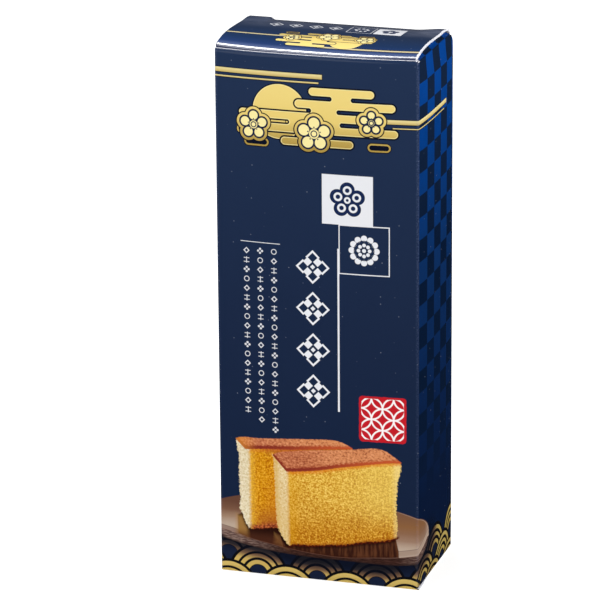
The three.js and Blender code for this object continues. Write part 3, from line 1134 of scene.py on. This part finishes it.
def front_finish():
    finish = Finish("front_print")
    u, v = finish.u, finish.v
    rough = (finish.noise(0.8, 3, 71) - 0.5) * 1.3
    colour = dust(finish, ground(finish))
    for drawn in (waves, plate):
        colour = drawn(finish, colour, u, v)
    for drawn in (back_slice, front_slice):
        colour = drawn(finish, colour, u, v, rough)
    colour = sun_and_mist(finish, gold_rules(colour, u, v, RULES), u, v)
    colour = seal(finish, white_motifs(colour, u, v), u, v)
    return varnish(finish, rubbed(finish, colour, (U_LEFT, U_RIGHT)))


# %% [markdown]
# ## The sides
#
# Both side panels carry the traditional chequered pattern, bright blue at the head and lost in
# the navy ground towards the foot, with the rules, the plate's ends and the waves running on
# from the front. The waves are painted darker here than on the front, as painted shade.

# %% Side finish
CHECK_WIDTH, CHECK_HEIGHT, CHECK_START, CHECK_TOP = 7.46, 7.02, 0.7, 162.5
WAVE_SHIFT, WAVE_CLIMB = 1.9, 0.55     # how far the waves of a side lie off those of the front
# The side's waves are painted darker than the front's: painted shade, not a different ink.
SIDE_PAINTED_SHADE, SIDE_THINNER = 0.8, 0.13


def checks(finish, colour, u, v):
    """Column and row numbers of the squares: an even sum is dark and an odd one is blue."""
    depth = abs(u - (U_LEFT + U_RIGHT) / 2) - HALF_WIDTH
    column = ((depth - CHECK_START) / CHECK_WIDTH).math("FLOOR")
    row = ((v - CHECK_TOP) / CHECK_HEIGHT).math("FLOOR")
    height = v / HEIGHT + (finish.noise(5, 2, 81) - 0.5) * 0.08
    blue = finish.ramp(height, (0.16, "#06142e"), (0.33, "#061b3e"), (0.62, "#082854"),
                       (0.85, "#023475"), (1.0, "#063e89"))
    dark = finish.ramp(height, (0.16, "#06142e"), (0.33, "#05142a"), (0.62, "#04142c"),
                       (1.0, "#122138"))
    return lay(colour, (rising(depth, 0.35, 0.75), lay(dark, ((column + row) % 2, blue))))


def side_finish():
    finish = Finish("side_print")
    u, v = finish.u, finish.v
    colour = dust(finish, checks(finish, ground(finish), u, v))
    wave_u = u - rising(u, U_RIGHT + 6, U_RIGHT + 24) * WAVE_SHIFT
    wave_v = v - rising(u, U_RIGHT, U_RIGHT + 6) * WAVE_CLIMB
    # The waves here are painted darker than on the front, as painted shade.
    colour = waves(finish, colour, wave_u, wave_v, SIDE_PAINTED_SHADE, SIDE_THINNER)
    colour = gold_rules(plate(finish, colour, u, v), u, v, RULES)
    creases = (U_LEFT, U_RIGHT, U_BACK_RIGHT, U_LEFT - DEPTH)
    return varnish(finish, rubbed(finish, colour, creases), coat=0.1)


# %% [markdown]
# ## The back
#
# The back can't be seen from the front, so it is finished like the rest: the same ground,
# waves and rules, with a plain pale panel ruled with fine lines.

# %% Back finish
BACK_PANEL = (U_BACK_RIGHT + 7.25, U_BACK_RIGHT + 57.25, 42, 126)     # four sides
BACK_RULES = [(U_BACK_RIGHT + 4, U_BACK_LEFT - 4, 152.6, 154.0),
              (U_BACK_RIGHT + 7, U_BACK_LEFT - 7, 151.1, 151.55)]


def back_finish():
    finish = Finish("back_print")
    u, v = finish.u, finish.v
    colour = waves(finish, dust(finish, ground(finish)), u, v)
    panel = sides(u, v, *BACK_PANEL)
    lines = greatest(abs(folded(v - 84, 7)) - 0.09, panel + 3)
    lines = least(lines, abs(panel + 1.6) - 0.12)
    colour = lay(colour, (inside(panel), "#e2e4e8"), (inside(lines), "#344062"))
    colour = gold_rules(colour, u, v, BACK_RULES)
    return varnish(finish, rubbed(finish, colour, (U_BACK_RIGHT, U_BACK_LEFT)))


# %% [markdown]
# ## The lid and the base
#
# The lid carries the picture again, small and turned to be read from behind, between two gold
# rules, and a row of white motifs at the back. Its ground has a painted sheen just behind the
# front fold and a painted grey reflection haze over its back half. Along the front fold runs a
# white line that is partly ink cracked to the white fibres and partly a painted highlight, and a
# hair of white board runs along the right-hand edge, which was cut a little outside the print.

# %% Lid finish
LID_RULES = [(-34, -10.8, 10.48, 11.32), (-0.3, 34, 3.88, 4.72)]     # four sides
LID_PICTURE = 1.66                    # the picture is this much smaller here
LID_CRESTS = (-20.0, -13.7, -7.2, -0.9)
LID_SQUARES = (7.4, 16.5)
# SCORE places a white line along the front fold, partly cracked ink and partly a painted highlight.
SCORE = 0.95                          # depth of the crack along the front fold
NICKS, NICK_STEP = (-27.2, 36.3), 2.0     # torn bridges of the perforation
MARGIN = "#e2e2e8"


def lid_finish():
    finish = Finish("lid_print")
    u, v = finish.u, finish.v
    # The lid's ground is painted lighter and bluer just behind the front fold, as a painted sheen,
    # and turns deep navy further back.
    colour = dust(finish, finish.ramp(
        v / 30, (0.035, "#3a405c"), (0.06, "#46567e"), (0.12, "#1a3260"),
        (0.25, "#0f2a50"), (0.6, "#0d2443")))
    for rule in LID_RULES:
        line = sides(u, v, *rule)
        colour = lay(colour, (inside(line - 0.35, 0.3), DARK_LINE), (inside(line), "#c8ba92"))
    small_u, small_v = 32 - (u - 0.5) * LID_PICTURE, 149.3 - (v - 10.6) * LID_PICTURE
    colour = sun_and_mist(finish, colour, small_u, small_v)
    y = v - 24.7
    crests = [least(abs(lozenge(u - at, y, 2.1, 2.4)) - 0.16, lozenge(u - at, y, 0.9, 1.0))
              for at in LID_CRESTS]
    x, y = u - LID_SQUARES[0], v - 24.8
    outlined = least(abs(box(x, y, 3.9, 4.4)) - 0.1, petals(x, y, 8, 1.9, 0.5))
    x, y = u - LID_SQUARES[1], v - 24.6
    white = least(*crests, outlined, box(x, y, 4.4, 4.3))
    # A grey haze over the back half of the lid, mottled by noise, is a painted reflection.
    haze_mottle = finish.noise(3.5, 3, 95, (2.5, 1)) * 1.4 - 0.1
    painted_reflection_haze = rising(v, 17, 28) * falling(v, 37, 42) * (0.2 + rising(u, 5, 26) * 0.12) * haze_mottle
    # The white line along the front fold is partly ink cracked to the white fibres and partly a
    # painted highlight.
    cracked_ink_and_highlight = inside(abs(v - SCORE) - finish.noise(0.6, 3, 97, (3, 1)) * 0.3, 0.3)
    ragged = (finish.noise(0.5, 3, 91) - 0.5) * 0.6
    margin = LID_RIGHT - 0.5 - falling(v, 0.5, 5) * 0.1 - u + ragged
    x, y = u - NICKS[0], v - NICKS[1]
    nicks = length(folded(x - 2.1, NICK_STEP) * 0.75, y) - 0.55 + ragged
    nicks = greatest(nicks, box(x, y, 2.6, 3))
    colour = lay(colour, (inside(white), WHITE_INK),
                 (inside(petals(u - LID_SQUARES[1], v - 24.6, 5, 1.7, 1.1)), NAVY_INK),
                 (painted_reflection_haze, "#969aaa"), (cracked_ink_and_highlight * 0.9, "#eceef6"),
                 (inside(least(margin, nicks)), MARGIN))
    return varnish(finish, colour, coat=1.0, coat_ior=1.9)


# %% Base finish
BLEED = 1.6        # the pattern of the front runs this far round the bottom fold


def base_finish():
    finish = Finish("base_print")
    u, v, navy = finish.u, finish.v, ground(finish)
    colour = lay(navy, (inside(0 - v - BLEED), waves(finish, navy, u, v)))
    ragged = (finish.noise(0.5, 3, 91) - 0.5) * 0.4
    margin = HALF_WIDTH - BASE_INSET - 0.3 - abs(u - U_LEFT - HALF_WIDTH) + ragged
    behind = falling(v, -3.0, -1.0)
    return varnish(finish, lay(dust(finish, colour), (inside(margin) * behind, "#e2e2e6")))


# %% [markdown]
# ## Raw board
#
# The cut edges and the inside of the sheet are unprinted: white and soft, with grey layers of
# fibre that run along the edge.

# %% Raw board
def raw_board():
    finish = Finish("raw_board")
    spot = finish.node("TexCoord", {}, {}, "Object")
    fibres, patches = (
        finish.node("TexNoise", {}, {"Vector": spot, "Scale": per_metre, "Detail": detail})
        for per_metre, detail in ((1600, 3), (260, 2)))
    grey = fibres * 0.6 + patches * 0.4
    colour = finish.ramp(grey, (0.3, "#c4c6d0"), (0.6, "#ececf2"))
    bump = finish.node("Bump", {}, {"Strength": 0.3, "Distance": 0.02 * MM, "Height": fibres})
    finish.feed(Base_Color=colour, Normal=bump, Roughness=0.85, Specular_IOR_Level=0.2)
    return finish.material


# %% Put the carton together
RAW = raw_board()
add_piece("carton_sleeve", sleeve_patches(), [front_finish(), side_finish(), back_finish()], RAW)
add_piece("carton_lid", [lid_patch()], [lid_finish()], RAW)
add_piece("carton_base", [base_patch()], [base_finish()], RAW)


# %% [markdown]
# ## Studio
#
# A plain pale floor that glows a little, as a light table does, a wide softbox over the lid and
# two softer ones to the left and right of the camera.
# The floor is kept out of the gloss, as a studio does with a dark card, so that the deep navy
# stays deep.

# %% Floor and lights
FLOOR_HALF, FLOOR_Z = 4.0, -0.0001     # metres: a hair below the carton's base
FLOOR_LOOK = {"Base Color": (0.42, 0.42, 0.42, 1), "Emission Color": (1, 1, 1, 1),
              "Emission Strength": 0.8, "Roughness": 1.0, "Specular IOR Level": 0.0}
SOFTBOXES = [  # name, place, target, size in metres, power in watts
    ("over_lid", (-0.38, 0.1, 1.0), (-0.2, 0.03, 0.1), (0.42, 1.1), 15),
    ("front_left", (-0.55, -1.15, 0.75), (0, 0, 0.08), (0.8, 0.8), 6),
    ("right", (1.0, -0.15, 0.75), (0, 0, 0.08), (0.7, 1.0), 11)]
SURROUND = (0.05, 0.05, 0.052, 1)


def add_floor():
    """A plain pale sheet, large enough to fill the view."""
    mesh = bpy.data.meshes.new("floor")
    outline = ((-1, -1), (1, -1), (1, 1), (-1, 1))
    corners = [(x * FLOOR_HALF, y * FLOOR_HALF, FLOOR_Z) for x, y in outline]
    mesh.from_pydata(corners, [], [(0, 1, 2, 3)])
    material = bpy.data.materials.new("floor_white")
    material.use_nodes = True
    for name, value in FLOOR_LOOK.items():
        material.node_tree.nodes["Principled BSDF"].inputs[name].default_value = value
    mesh.materials.append(material)
    floor = add_thing("floor", mesh)
    floor.visible_glossy = False


def set_place(thing, right, up, back, place):
    """Turns a light or the camera to three directions and moves it to its place."""
    matrix = np.eye(4)
    matrix[:3] = np.stack([right, up, back, place], -1)
    thing.matrix_world = matrix.T.tolist()


def add_softbox(name, place, target, size, power):
    """A rectangular light at a place in metres that faces a target."""
    lamp = bpy.data.lights.new(name, "AREA")
    lamp.shape, lamp.size, lamp.size_y, lamp.energy = "RECTANGLE", *size, power
    back = np.subtract(place, target)
    back /= np.linalg.norm(back)
    right = np.cross((0, 1, 0.01), back)
    right /= np.linalg.norm(right)
    set_place(add_thing(name, lamp), right, np.cross(back, right), back, place)


add_floor()
for softbox in SOFTBOXES:
    add_softbox(*softbox)
world = bpy.data.worlds.new("surround")
world.use_nodes = True
world.node_tree.nodes["Background"].inputs[0].default_value = SURROUND
bpy.context.scene.world = world
bpy.context.scene.view_settings.view_transform = "Standard"
print("softboxes:", [light.name for light in bpy.data.lights])

# %% [markdown]
# ## Camera
#
# The camera looks from the front right and a little above, through a long lens that keeps the
# upright creases almost parallel.

# %% Camera
AZIMUTH, ELEVATION, ROLL = radians(17.17), radians(17.45), radians(-0.44)
DISTANCE, ASIDE, ABOVE = 1286.99, -11.88, 82.35
LENS = 241.87


def add_camera():
    """Its place is given along its own three directions: backwards, to the right and up."""
    back = np.array([sin(AZIMUTH) * cos(ELEVATION), -cos(AZIMUTH) * cos(ELEVATION), sin(ELEVATION)])
    level = np.array([cos(AZIMUTH), sin(AZIMUTH), 0.0])
    right = cos(ROLL) * level + sin(ROLL) * np.cross(back, level)
    up = np.cross(back, right)
    place = (back * DISTANCE + right * ASIDE + up * ABOVE) * MM
    camera = add_thing("camera", bpy.data.cameras.new("camera"))
    set_place(camera, right, up, back, place)
    camera.data.lens = LENS
    bpy.context.scene.camera = camera
    print("camera at", np.round(place, 3).tolist(), "m")


add_camera()

# %% [markdown]
# ## Size
#
# The sheet has to stay inside the box of the solid that it replaces.

# %% Update the scene
bpy.context.view_layer.update()
